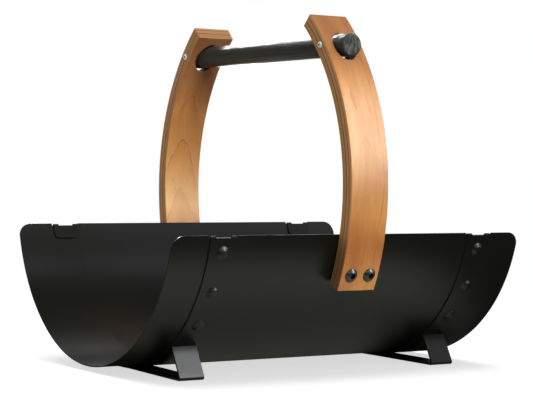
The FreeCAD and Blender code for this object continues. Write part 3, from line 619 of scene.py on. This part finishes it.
def add_piece(name, node, shape, material, slot, ease=0.0, segments=2, sharp=SHARP):
    """A closed mesh piece that stands for a solid, with its sharp edges eased."""
    mesh = bpy.data.meshes.new(name)
    points = [(x * MM, y * MM, z * MM) for x, y, z in shape.points]
    mesh.from_pydata(points, [], shape.faces, shade_flat=False)
    mesh.validate()
    piece = bpy.data.objects.new(name, mesh)
    bpy.context.scene.collection.objects.link(piece)
    mesh.materials.append(material)
    mesh.set_sharp_from_angle(angle=math.radians(sharp))
    if ease:
        rounding = piece.modifiers.new("rounded_edges", "BEVEL")
        rounding.width = ease * MM
        rounding.segments = segments
        rounding.limit_method = "ANGLE"
        rounding.angle_limit = math.radians(sharp)
        rounding.harden_normals = True
        rounding.use_clamp_overlap = False
    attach(piece, ROOT)
    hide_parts(node)
    return piece


def clean_normals(piece):
    """Make all faces of a closed piece face outwards."""
    work = bmesh.new()
    work.from_mesh(piece.data)
    bmesh.ops.recalc_face_normals(work, faces=work.faces)
    work.to_mesh(piece.data)
    work.free()


class Shape:
    """Points and faces of a piece while it is put together."""

    def __init__(self):
        self.points = []
        self.faces = []

    def ring(self, points):
        """Add points and return their numbers."""
        start = len(self.points)
        self.points.extend(points)
        return list(range(start, len(self.points)))

    def strip(self, first, second, closed=True):
        """Quads between two rows of points."""
        count = len(first)
        for i in range(count if closed else count - 1):
            j = (i + 1) % count
            self.faces.append((first[i], first[j], second[j], second[i]))

    def sheet(self, places, squares):
        """A closed plate of grid squares; places gives the outer and the inner place of each corner."""
        corners = {key: self.ring(pair) for key, pair in places.items()}
        edges = {}
        for column, row in squares:
            loop = [(column, row), (column, row + 1), (column + 1, row + 1), (column + 1, row)]
            self.faces.append([corners[key][0] for key in loop])
            self.faces.append([corners[key][1] for key in reversed(loop)])
            edges.update({(loop[i - 1], loop[i]): True for i in range(4)})
        # An edge of one square alone is on the plate's rim
        for start, end in edges:
            if (end, start) not in edges:
                self.faces.append(corners[end][:1] + corners[start] + corners[end][1:])
        return self

    def turned(self, place, radius, level, segments):
        """A ring about an axis; the radius may follow the turn, and the level the radius."""
        if radius == 0:
            return self.ring([place(0, 0, level)])
        points = []
        for i in range(segments):
            turn = 2 * math.pi * i / segments
            r = radius(turn) if callable(radius) else radius
            height = level(r) if callable(level) else level
            points.append(place(r * math.cos(turn), r * math.sin(turn), height))
        return self.ring(points)

    def lathe(self, profile, place, segments=SEGMENTS):
        """A surface turned about its own axis; it closes on the axis, or where the profile comes round."""
        closed = profile[0] == profile[-1]
        rows = [self.turned(place, *section, segments) for section in (profile[:-1] if closed else profile)]
        if closed:
            rows.append(rows[0])
        for first, second in zip(rows, rows[1:]):
            if len(first) == 1:
                self.faces.extend((first[0], second[(i + 1) % segments], second[i]) for i in range(segments))
            elif len(second) == 1:
                self.faces.extend((first[i], first[(i + 1) % segments], second[0]) for i in range(segments))
            else:
                self.strip(first, second)
        return self


def spread(low, high, count):
    """Evenly spaced numbers from low to high."""
    return [low + (high - low) * i / count for i in range(count + 1)]


def grid_squares(columns, rows):
    """All squares of a grid of places."""
    return [(column, row) for column in range(columns - 1) for row in range(rows - 1)]


# Trough

def on_trough(x, radius, angle):
    """A place at an angle from straight down about the trough's axis, towards +Y."""
    return (x, radius * math.sin(angle), AXIS_Z - radius * math.cos(angle))


def fold_angle(radius):
    """Where a tab's bend starts on a sheet."""
    return math.acos(BEND_BELOW_AXIS / (radius - BEND))


def rolled_sheet(columns, radius, lap=None):
    """A rolled sheet from columns of (x, rim below the axis), with tabs if its first columns lie in a lap."""
    places = {}
    for column, (x, below) in enumerate(columns):
        surfaces = []
        for r in (radius, radius - SHEET):
            low = math.acos(RIM_ZONE / r)
            limit = math.acos(below / r) if below else fold_angle(radius)
            rise = spread(low, limit, RIM_ROWS)[1:]
            angles = [-a for a in reversed(rise)] + spread(-low, low, WALL_ROWS) + rise
            surfaces.append([on_trough(x, r, angle) for angle in angles])
        for row, pair in enumerate(zip(*surfaces)):
            places[column, row] = pair
    rows = len(surfaces[0])
    squares = grid_squares(len(columns), rows)
    if lap is not None:
        for side in SIDES.values():
            folded_tab(places, squares, lap, radius, side, rows - 1)
    return Shape().sheet(places, squares)


def rounded_corner(radius):
    """Places on a quarter round as (inset, drop), from the side to the top."""
    first = math.acos(1 - FIRST_INSET / radius)
    turns = [0.0] + spread(first, math.pi / 2, CORNER_STEPS)
    return [(radius * (1 - math.cos(turn)), radius * (1 - math.sin(turn))) for turn in turns]


def corner_columns(side):
    """Columns of a free end with rounded rim corners, from the end inwards."""
    return [(side * (HALF_LENGTH - inset), RIM_BELOW_AXIS + drop) for inset, drop in rounded_corner(CORNER)]


def plain_columns(start, end, below):
    """Columns with a straight rim."""
    return [(x, below) for x in spread(start, end, max(2, round(abs(end - start) / COLUMN_PITCH)))]


def tab_place(x, radius, side, run, lift):
    """A place on a folded tab: along its bend and past it, and off its middle surface."""
    angle = fold_angle(radius)
    if run >= FOLD_LENGTH:
        beyond = run - FOLD_LENGTH
        r = radius - 2 * BEND + SHEET / 2
        spring = TAB_SPRING * beyond / TAB_LENGTH
        x, y, z = on_trough(x, r - spring - lift, angle - beyond / r)
    else:
        turn = run / FOLD
        x, y, z = on_trough(x, radius - BEND + (FOLD + lift) * math.cos(turn), angle)
        reach = (FOLD + lift) * math.sin(turn)
        y += reach * math.cos(angle)
        z += reach * math.sin(angle)
    return (x, side * y, z)


def tab_columns():
    """Places across a tab with what its rounded corners cut off, and which of them lie in its slot."""
    corner = rounded_corner(TAB_CORNER)
    slot = [(TAB_EAR + SLOT_EASE, 0.0), (LAP - TAB_EAR - SLOT_EASE, 0.0)]
    columns = corner + slot + [(LAP - across, cut) for across, cut in reversed(corner)]
    return columns, range(len(corner), len(corner) + len(slot))


def folded_tab(places, squares, lap, radius, side, last):
    """Add to a sheet's grid a tab that folds over the inner sheet's rim, with a slot along its bend."""
    columns, slot = tab_columns()
    for column, (across, cut) in enumerate(columns):
        runs = spread(0.0, FOLD_LENGTH, BEND_ROWS)
        runs += spread(FOLD_LENGTH, FOLD_LENGTH + TAB_LENGTH - cut, TAB_ROWS)[1:]
        for step, run in enumerate(runs[1:], 1):
            if step >= BEND_ROWS or column not in slot:
                places[column, last + step if side > 0 else -step] = [
                    tab_place(lap + across, radius, side, run, lift) for lift in (SHEET / 2, -SHEET / 2)]
            in_slot = column in slot or column - 1 in slot
            if column and (step > BEND_ROWS or not in_slot):
                squares.append((column - 1, last + step - 1 if side > 0 else -step))


def lap_columns(start):
    """Columns of a sheet under its tabs: up to the fold at the ears, and level in the slot."""
    columns, slot = tab_columns()
    return [(start + across, BEND_BELOW_AXIS if i in slot else None)
            for i, (across, cut) in enumerate(columns)]


def make_panels(paint):
    """The three sheets of the trough."""
    left_notch = LEFT_LAP - NOTCH_CLEARANCE
    right_notch = RIGHT_LAP - NOTCH_CLEARANCE
    left_end = LEFT_LAP + LAP
    right_end = RIGHT_LAP + LAP
    corner_start = HALF_LENGTH - CORNER - PAST_CORNER
    left = (corner_columns(-1) + plain_columns(-corner_start, left_notch - NOTCH_SLOPE, RIM_BELOW_AXIS)
            + plain_columns(left_notch, left_end, BEND_BELOW_AXIS))
    centre = (lap_columns(LEFT_LAP)
              + plain_columns(left_end + NOTCH_SLOPE, right_notch - NOTCH_SLOPE, RIM_BELOW_AXIS)
              + plain_columns(right_notch, right_end, BEND_BELOW_AXIS))
    right = (lap_columns(RIGHT_LAP) + plain_columns(right_end + NOTCH_SLOPE, corner_start, RIM_BELOW_AXIS)
             + corner_columns(1)[::-1])
    sheets = (("left_sheet", "left_end_panel", rolled_sheet(left, LEFT_RADIUS)),
              ("centre_sheet", "centre_panel", rolled_sheet(centre, CENTRE_RADIUS, LEFT_LAP)),
              ("right_sheet", "right_end_panel", rolled_sheet(right, RIGHT_RADIUS, RIGHT_LAP)))
    for name, node, shape in sheets:
        add_piece(name, node, shape, paint, "black_steel", SHEET_EASE)


def make_rivets(paint):
    """Seam rivets with a bell-shaped head, and the feet's flush rivets."""
    crown = []
    for r in spread(0.0, RIVET_CROWN, CROWN_ROWS):
        swell = 0.5 + 0.5 * math.cos(math.pi * (r / RIVET_CROWN) ** RIVET_SWELL)
        crown.append((r, BRIM + (RIVET_HEIGHT - BRIM) * swell))
    for seam, row, radius in SEAMS:
        for side_name, side in SIDES.items():
            shape = Shape()
            for degrees in RIVET_ANGLES:
                angle = side * math.radians(degrees)

                def place(u, v, height):
                    x, y, z = on_trough(row + u, radius + height, angle)
                    return (x, y + v * math.cos(angle), z + v * math.sin(angle))

                shape.lathe(crown + BRIM_PROFILE, place, RIVET_SEGMENTS)
            add_piece(f"{seam}_{side_name}_rivet_heads", f"{seam}_seam_{side_name}_rivets", shape, paint,
                      "black_steel")

        shape = Shape()
        for step in (-FLUSH_STEP, FLUSH_STEP):
            def place_low(u, v, height):
                return (row + step + u, v, AXIS_Z - radius - FOOT_GAP - FOOT_THICKNESS + height)

            shape.lathe(FLUSH_PROFILE, place_low, FLUSH_SEGMENTS)
        add_piece(f"{seam}_foot_rivet_heads", f"{seam}_foot_rivets", shape, paint, "black_steel")


# Feet

def foot_path(radius):
    """Half of a foot's middle surface, from the middle outwards and up, as (y, z, normal)."""
    seat = radius + FOOT_GAP
    top = AXIS_Z - seat
    bottom = top - FOOT_THICKNESS
    outer = FOOT_BEND + FOOT_THICKNESS
    bend_y = FOOT_SPAN / 2 - outer
    run = bend_y - FOOT_FLAT / 2
    down = bottom - outer
    fall = math.atan(down / run) + math.asin(outer / math.hypot(run, down))
    half = FOOT_THICKNESS / 2
    path = [(y, top - half, (0.0, -1.0)) for y in spread(0.0, FOOT_FLAT / 2 - FOOT_TURN, FLAT_ROWS)]
    run_normal = (-math.sin(fall), -math.cos(fall))
    start = (bend_y + outer * run_normal[0], outer + outer * run_normal[1])
    for y in spread(FOOT_FLAT / 2 + FOOT_TURN, start[0], RUN_ROWS):
        z = start[1] + (start[0] - y) * math.tan(fall)
        path.append((y - half * run_normal[0], z - half * run_normal[1], run_normal))
    for turn in spread(-math.pi / 2 - fall, FOOT_LEAN, TURN_ROWS)[1:]:
        normal = (math.cos(turn), math.sin(turn))
        path.append((bend_y + (outer - half) * normal[0], outer + (outer - half) * normal[1], normal))

    # The leg leans in until its inner face meets the sheet
    y, z, normal = path[-1]
    inner_y = y - half * normal[0]
    drop = AXIS_Z - (z - half * normal[1])
    along = drop * math.cos(FOOT_LEAN) + inner_y * math.sin(FOOT_LEAN)
    off = inner_y * math.cos(FOOT_LEAN) - drop * math.sin(FOOT_LEAN)
    leg = along - math.sqrt(seat ** 2 - off ** 2)
    for step in spread(0.0, leg, LEG_ROWS)[1:]:
        path.append((y - step * math.sin(FOOT_LEAN), z + step * math.cos(FOOT_LEAN), normal))
    return path


def make_feet(paint):
    """Bent straps under the laps."""
    widths = spread(-FOOT_WIDTH / 2, FOOT_WIDTH / 2, FOOT_COLUMNS)
    for seam, row, radius in SEAMS:
        half = foot_path(radius)
        path = [(-y, z, (-n[0], n[1])) for y, z, n in reversed(half[1:])] + half
        places = {}
        for column, x in enumerate(widths):
            for step, (y, z, n) in enumerate(path):
                places[column, step] = [(row + x, y + lift * n[0], z + lift * n[1])
                                        for lift in (FOOT_THICKNESS / 2, -FOOT_THICKNESS / 2)]
        shape = Shape().sheet(places, grid_squares(len(widths), len(path)))
        add_piece(f"{seam}_strap", f"{seam}_foot", shape, paint, "black_steel", FOOT_EASE)


# Arms

def arm_surface(shape, side, radius):
    """One curved face of an arm with its hole, and the numbers of its border and hole points."""
    half = ARM_WIDTH / 2
    low = math.asin((BAR_RISE - HOLE_PATCH) / radius)
    high = math.asin((BAR_RISE + HOLE_PATCH) / radius)
    xs = spread(-half, half, ARM_COLUMNS)

    def place(x, angle):
        return (x, side * (radius * math.cos(angle) - ARM_Y), ARM_Z + radius * math.sin(angle))

    def row(angle):
        return shape.ring([place(x, angle) for x in xs])

    below = [row(a) for a in spread(ARM_BOTTOM, low, ROWS_BELOW_PATCH)]
    above = [row(a) for a in spread(high, ARM_TOP, ROWS_ABOVE_PATCH)]
    for rows in (below, above):
        for first, second in zip(rows, rows[1:]):
            shape.strip(first, second, closed=False)

    # The patch round the hole: its border is shared with the rows below and above
    rises = spread(BAR_RISE - HOLE_PATCH, BAR_RISE + HOLE_PATCH, PATCH_ROWS)[1:-1]
    right = shape.ring([place(half, math.asin(z / radius)) for z in rises])
    left = shape.ring([place(-half, math.asin(z / radius)) for z in rises])
    border = below[-1] + right + above[0][::-1] + left[::-1]
    straight = SLOT_HEIGHT / 2 - SLOT_HALF

    def hole_point(x, rise):
        turn = math.atan2((rise - BAR_RISE) / HOLE_PATCH, x / half)
        shift = straight if turn > 0 else -straight
        return SLOT_HALF * math.cos(turn), SLOT_MIDDLE + shift + SLOT_HALF * math.sin(turn)

    previous = border
    for share in HOLE_RINGS:
        ring = []
        for number in border:
            x, y, z = shape.points[number]
            rise = z - ARM_Z
            hole_x, hole_rise = hole_point(x, rise)
            angle = math.asin((rise + (hole_rise - rise) * share) / radius)
            ring.append(place(x + (hole_x - x) * share, angle))
        numbers = shape.ring(ring)
        shape.strip(previous, numbers)
        previous = numbers
    left_side = [r[0] for r in below] + left + [r[0] for r in above]
    right_side = [r[-1] for r in below] + right + [r[-1] for r in above]
    return previous, (below[0], above[-1], left_side, right_side)


def make_arms(wood):
    """Bent plywood arms with a slot for the bar."""
    for side_name, side in SIDES.items():
        shape = Shape()
        outer_hole, outer_edges = arm_surface(shape, side, ARM_OUTER)
        inner_hole, inner_edges = arm_surface(shape, side, ARM_INNER)
        shape.strip(outer_hole, inner_hole)
        for outer, inner in zip(outer_edges, inner_edges):
            shape.strip(outer, inner, closed=False)
        piece = add_piece(f"{side_name}_bent_arm", f"{side_name}_arm", shape, wood, "plywood", ARM_EASE, 3)
        clean_normals(piece)


# Bar, screws, bolts

def make_bar(side_finish, end_finish):
    """The round bar with eased ends, whose flat end faces have their own finish."""
    turns = spread(0.0, math.pi / 2, BAR_EDGE_ROWS)
    half = [(BAR_RADIUS - BAR_EDGE * (1 - math.cos(turn)), BAR_REACH - BAR_EDGE * (1 - math.sin(turn)))
            for turn in turns]
    half += [(r, BAR_REACH) for r in BAR_END_RINGS]
    straight = BAR_REACH - BAR_EDGE - 1
    middle = [(BAR_RADIUS, y) for y in spread(-straight, straight, BAR_ROWS)]
    profile = [(r, -y) for r, y in reversed(half)] + middle + half
    shape = Shape().lathe(profile, lambda u, v, h: (v, h, BAR_Z + u), BAR_SEGMENTS)
    piece = add_piece("round_bar", "handle_bar", shape, side_finish, "black_wood")
    piece.data.materials.append(end_finish)
    for polygon in piece.data.polygons:
        if abs(polygon.center.y) > (BAR_REACH - 0.01) * MM:
            polygon.material_index = 1


def hexagon(half_width):
    """How far a hexagon's side is from its middle, by direction."""
    return lambda turn: half_width / math.cos((turn + math.pi / 6) % (math.pi / 3) - math.pi / 6)


def button(head, height, edge, socket, depth, shank, length):
    """The profile of a button head with a hexagon socket, on its shank."""
    rise = height - edge
    dome = (rise ** 2 + head ** 2) / (2 * rise)

    def crown(r):
        return height - dome + math.sqrt(dome ** 2 - r ** 2)

    floor = height - depth
    hollow = [(0, floor - SOCKET_CONE * socket), (hexagon(socket / 2), floor),
              (hexagon(socket / 2), lambda r: crown(r) - LIP_DEPTHS[0] * head),
              (hexagon(socket * SOCKET_LIP / 2), lambda r: crown(r) - LIP_DEPTHS[1] * head)]
    cap = [(r, crown) for r in spread(socket * CAP_START, head, CAP_ROWS)]
    return hollow + cap + [(head, edge * 0.25), (head - edge * 0.2, 0.0), (shank, 0.0),
                           (shank, CHAMFER - length), (shank - CHAMFER, -length), (0, -length)]


def line_socket(piece, finish):
    """Give a button head's socket, which holds its first faces, a finish of its own, darker as painted shade.
    """
    piece.data.materials.append(finish)
    for polygon in list(piece.data.polygons)[:2 * SEGMENTS]:
        polygon.material_index = 1
    clean_normals(piece)


def bolt_place(side, step, level):
    """Turns places about a bolt's own axis, at a distance from the arm's bend axis, into the frame."""
    out = Vector((0.0, side * math.cos(BOLT_FALL), -math.sin(BOLT_FALL)))
    over = Vector((0.0, side * math.sin(BOLT_FALL), math.cos(BOLT_FALL)))
    start = Vector((step, -side * ARM_Y, ARM_Z))

    def place(u, v, height):
        return tuple(start + out * (level + height) + over * v + Vector((u, 0.0, 0.0)))

    return place


def ring_profile(thickness):
    """A washer's section with eased rims."""
    rims = (BOLT_HOLE + RING_EASE, WASHER_RADIUS - RING_EASE)
    return [(BOLT_HOLE, RING_EASE), (rims[0], 0.0), (rims[1], 0.0), (WASHER_RADIUS, RING_EASE),
            (WASHER_RADIUS, thickness - RING_EASE), (rims[1], thickness), (rims[0], thickness),
            (BOLT_HOLE, thickness - RING_EASE), (BOLT_HOLE, RING_EASE)]


def nut_profile():
    """A hexagon nut's section with chamfered corners."""
    side = hexagon(NUT_HALF)
    rim = BOLT_HOLE + CHAMFER
    half = [(BOLT_HOLE, CHAMFER), (rim, 0.0), (NUT_FACE, 0.0), (side, lambda r: (r - NUT_FACE) * NUT_SLOPE)]
    other = [(side, lambda r: NUT - (r - NUT_FACE) * NUT_SLOPE), (NUT_FACE, NUT), (rim, NUT),
             (BOLT_HOLE, NUT - CHAMFER)]
    return half + other + half[:1]


def make_fasteners(oxide, socket, plate, plastic):
    """Bolts with their spacers, washers and nuts, and the bar's screws."""
    bolt = button(**BOLT)
    screw = button(**SCREW)
    rings = (("nylon_spacer", "spacer", ring_profile(SPACER), SPACER_LEVEL, plastic, "spacers", SHARP),
             ("plate_washer", "washer", ring_profile(WASHER), WASHER_LEVEL, plate, "zinc", SHARP),
             ("hexagon_nut", "nut", nut_profile(), NUT_LEVEL, plate, "zinc", NUT_SHARP))
    for side_name, side in SIDES.items():
        for step_name, step in (("left", -BOLT_STEP), ("right", BOLT_STEP)):
            name = f"{side_name}_{step_name}"
            shape = Shape().lathe(bolt, bolt_place(side, step, ARM_OUTER))
            piece = add_piece(f"{name}_button_bolt", f"{name}_bolt", shape, oxide, "black_fasteners")
            line_socket(piece, socket)
            for form, node, profile, level, finish, slot, sharp in rings:
                shape = Shape().lathe(profile, bolt_place(side, step, level))
                clean_normals(add_piece(f"{name}_{form}", f"{name}_{node}", shape, finish, slot, sharp=sharp))

        def screw_place(u, v, height):
            return (-ARM_WIDTH / 2 - height, side * SCREW_Y + u, BAR_Z + v)

        shape = Shape().lathe(screw, screw_place)
        piece = add_piece(f"{side_name}_socket_screw", f"{side_name}_bar_screw", shape, plate, "zinc")
        line_socket(piece, socket)


# Stage, light and camera

def make_floor():
    """A wide pale floor that takes the object's shadow and turns plain white far off."""
    bpy.ops.mesh.primitive_plane_add(size=FLOOR_SIZE)
    floor = bpy.context.object
    floor.name = "floor"
    nodes = material_nodes("floor")
    across, along = nodes.split(nodes.coordinates())[:2]
    rays = nodes.add("ShaderNodeLightPath")
    camera_ray = rays.outputs["Is Camera Ray"]
    glossy_ray = rays.outputs["Is Glossy Ray"]
    # Painted for gloss alone: a pool of light round the object, with painted shadow at the feet
    sides = nodes.times(nodes.steps(across, *DARK_RIGHT), nodes.steps(across, *DARK_LEFT))
    for x_limits, y_limits in FOOT_SHADOW_PAINTED:
        under = nodes.times(nodes.steps(across, *x_limits), nodes.steps(along, *y_limits, 0.0, FOOT_SHADOW_DEPTH))
        sides = nodes.times(sides, nodes.minus(1.0, under))
    gloss_light_pool = nodes.times(nodes.steps(along, *DARK_FRONT), sides)
    dark = nodes.times(nodes.minus(1.0, gloss_light_pool), glossy_ray)
    shaded = nodes.add("ShaderNodeBsdfDiffuse", {"Color": nodes.mix(dark, FLOOR_PALE, FLOOR_DARK)}).outputs[0]
    fading = nodes.steps(along, *GLOW_UNDER, kind="LINEAR")
    near = nodes.times(nodes.steps(along, *GLOW_BEFORE), fading, sides)
    glow = nodes.times(nodes.plus(near, nodes.steps(along, *GLOW_BEHIND)), glossy_ray)
    lift = nodes.emission(WHITE, nodes.times(camera_ray, FLOOR_LIFT))
    lit = nodes.both(shaded, nodes.both(nodes.emission(GLOW_COLOUR, glow), lift))
    far = nodes.steps(nodes.distance(across, along), *FLOOR_FAR)
    nodes.surface(nodes.either(nodes.times(far, camera_ray), lit, nodes.emission(WHITE)))
    floor.data.materials.append(nodes.owner)


def make_world():
    """White to the camera, grey light to all, and in gloss a dim studio with bright bands."""
    world = bpy.data.worlds.new("studio")
    bpy.context.scene.world = world
    nodes = Nodes(world)
    along, up = nodes.split(nodes.coordinates("Generated"))[1:]
    turn = nodes.math("ARCTAN2", up, nodes.times(along, -1.0))
    stops = [(degrees / 180.0, [share * level for share in STUDIO_TINT]) for degrees, level in STUDIO]
    gloss = nodes.background(nodes.ramp(nodes.over(turn, math.pi), stops))
    ambient = nodes.background((AMBIENT, AMBIENT, AMBIENT, 1.0), AMBIENT_STRENGTH)
    rays = nodes.add("ShaderNodeLightPath")
    lit = nodes.either(rays.outputs["Is Glossy Ray"], ambient, gloss)
    seen = nodes.either(rays.outputs["Is Camera Ray"], lit, nodes.background((*WHITE, 1.0)))
    nodes.surface(seen, "World Output")


def make_backdrop():
    """A bright white panel behind the object, seen by gloss alone."""
    bpy.ops.mesh.primitive_plane_add(size=1.0, location=BACKDROP_PLACE,
                                     rotation=(math.pi / 2, 0.0, -VIEW_TURN))
    panel = bpy.context.object
    panel.name = "backdrop"
    panel.scale = (*BACKDROP_SIZE, 1.0)
    nodes = material_nodes("backdrop")
    nodes.surface(nodes.emission(WHITE, BACKDROP_GLOW))
    panel.data.materials.append(nodes.owner)
    panel.visible_camera = False
    panel.visible_diffuse = False
    panel.visible_shadow = False


def add_softbox(name, place, aim, size, power, colour):
    """A rectangular area light."""
    light = bpy.data.lights.new(name, "AREA")
    light.shape = "RECTANGLE"
    light.size, light.size_y = size
    light.energy = power
    light.color = colour
    box = bpy.data.objects.new(name, light)
    bpy.context.scene.collection.objects.link(box)
    box.location = place
    box.rotation_euler = (Vector(aim) - Vector(place)).to_track_quat("-Z", "Y").to_euler()
    return box


def linked(name, pattern):
    """A collection of the meshes whose names match a pattern."""
    chosen = bpy.data.collections.new(name)
    for mesh in bpy.data.objects:
        if mesh.type == "MESH" and re.search(pattern, mesh.name):
            chosen.objects.link(mesh)
    return chosen


def make_lights():
    """Soft boxes: some light the floor or the object without gloss, others give gloss to a few pieces."""
    groups = {}
    for name, (place, aim, size, power, colour, without, pattern) in LIGHTS.items():
        box = add_softbox(name, place, aim, size, power, colour)
        if without:
            setattr(box, f"visible_{without}", False)
        if pattern:
            if pattern not in groups:
                groups[pattern] = linked(name, pattern)
            box.light_linking.receiver_collection = groups[pattern]

    # The far arm alone shades the bar from the box behind, which is sampled as a light only
    behind = bpy.data.objects["behind"]
    behind.light_linking.blocker_collection = linked("rear_blockers", "rear_bent_arm")
    behind.data.cycles.use_multiple_importance_sampling = False


def make_camera():
    """The photo's view: a long lens from the front left, above the rim."""
    data = bpy.data.cameras.new("camera")
    data.sensor_fit = "HORIZONTAL"
    data.sensor_width = SENSOR
    data.lens = LENS
    camera = bpy.data.objects.new("camera", data)
    bpy.context.scene.collection.objects.link(camera)
    level = math.cos(VIEW_RISE)
    back = Vector((-math.sin(VIEW_TURN) * level, -math.cos(VIEW_TURN) * level, math.sin(VIEW_RISE)))
    right = (-back).cross(Vector((0.0, 0.0, 1.0))).normalized()
    up = right.cross(-back)
    place = (Vector(VIEW_TARGET) + back * VIEW_DISTANCE) * MM
    axes = Matrix((right, up, back)).transposed().to_4x4()
    camera.matrix_world = Matrix.Translation(place) @ axes @ Matrix.Rotation(VIEW_ROLL, 4, "Z")
    bpy.context.scene.camera = camera


paint = black_paint()
make_panels(paint)
make_rivets(paint)
make_feet(paint)
make_arms(arm_wood())
make_bar(bar_wood(), bar_end_wood())
make_fasteners(black_oxide(), socket_black(), zinc(), spacer_plastic())
make_floor()
make_world()
make_backdrop()
make_lights()
make_camera()
bpy.context.scene.view_settings.view_transform = "Standard"
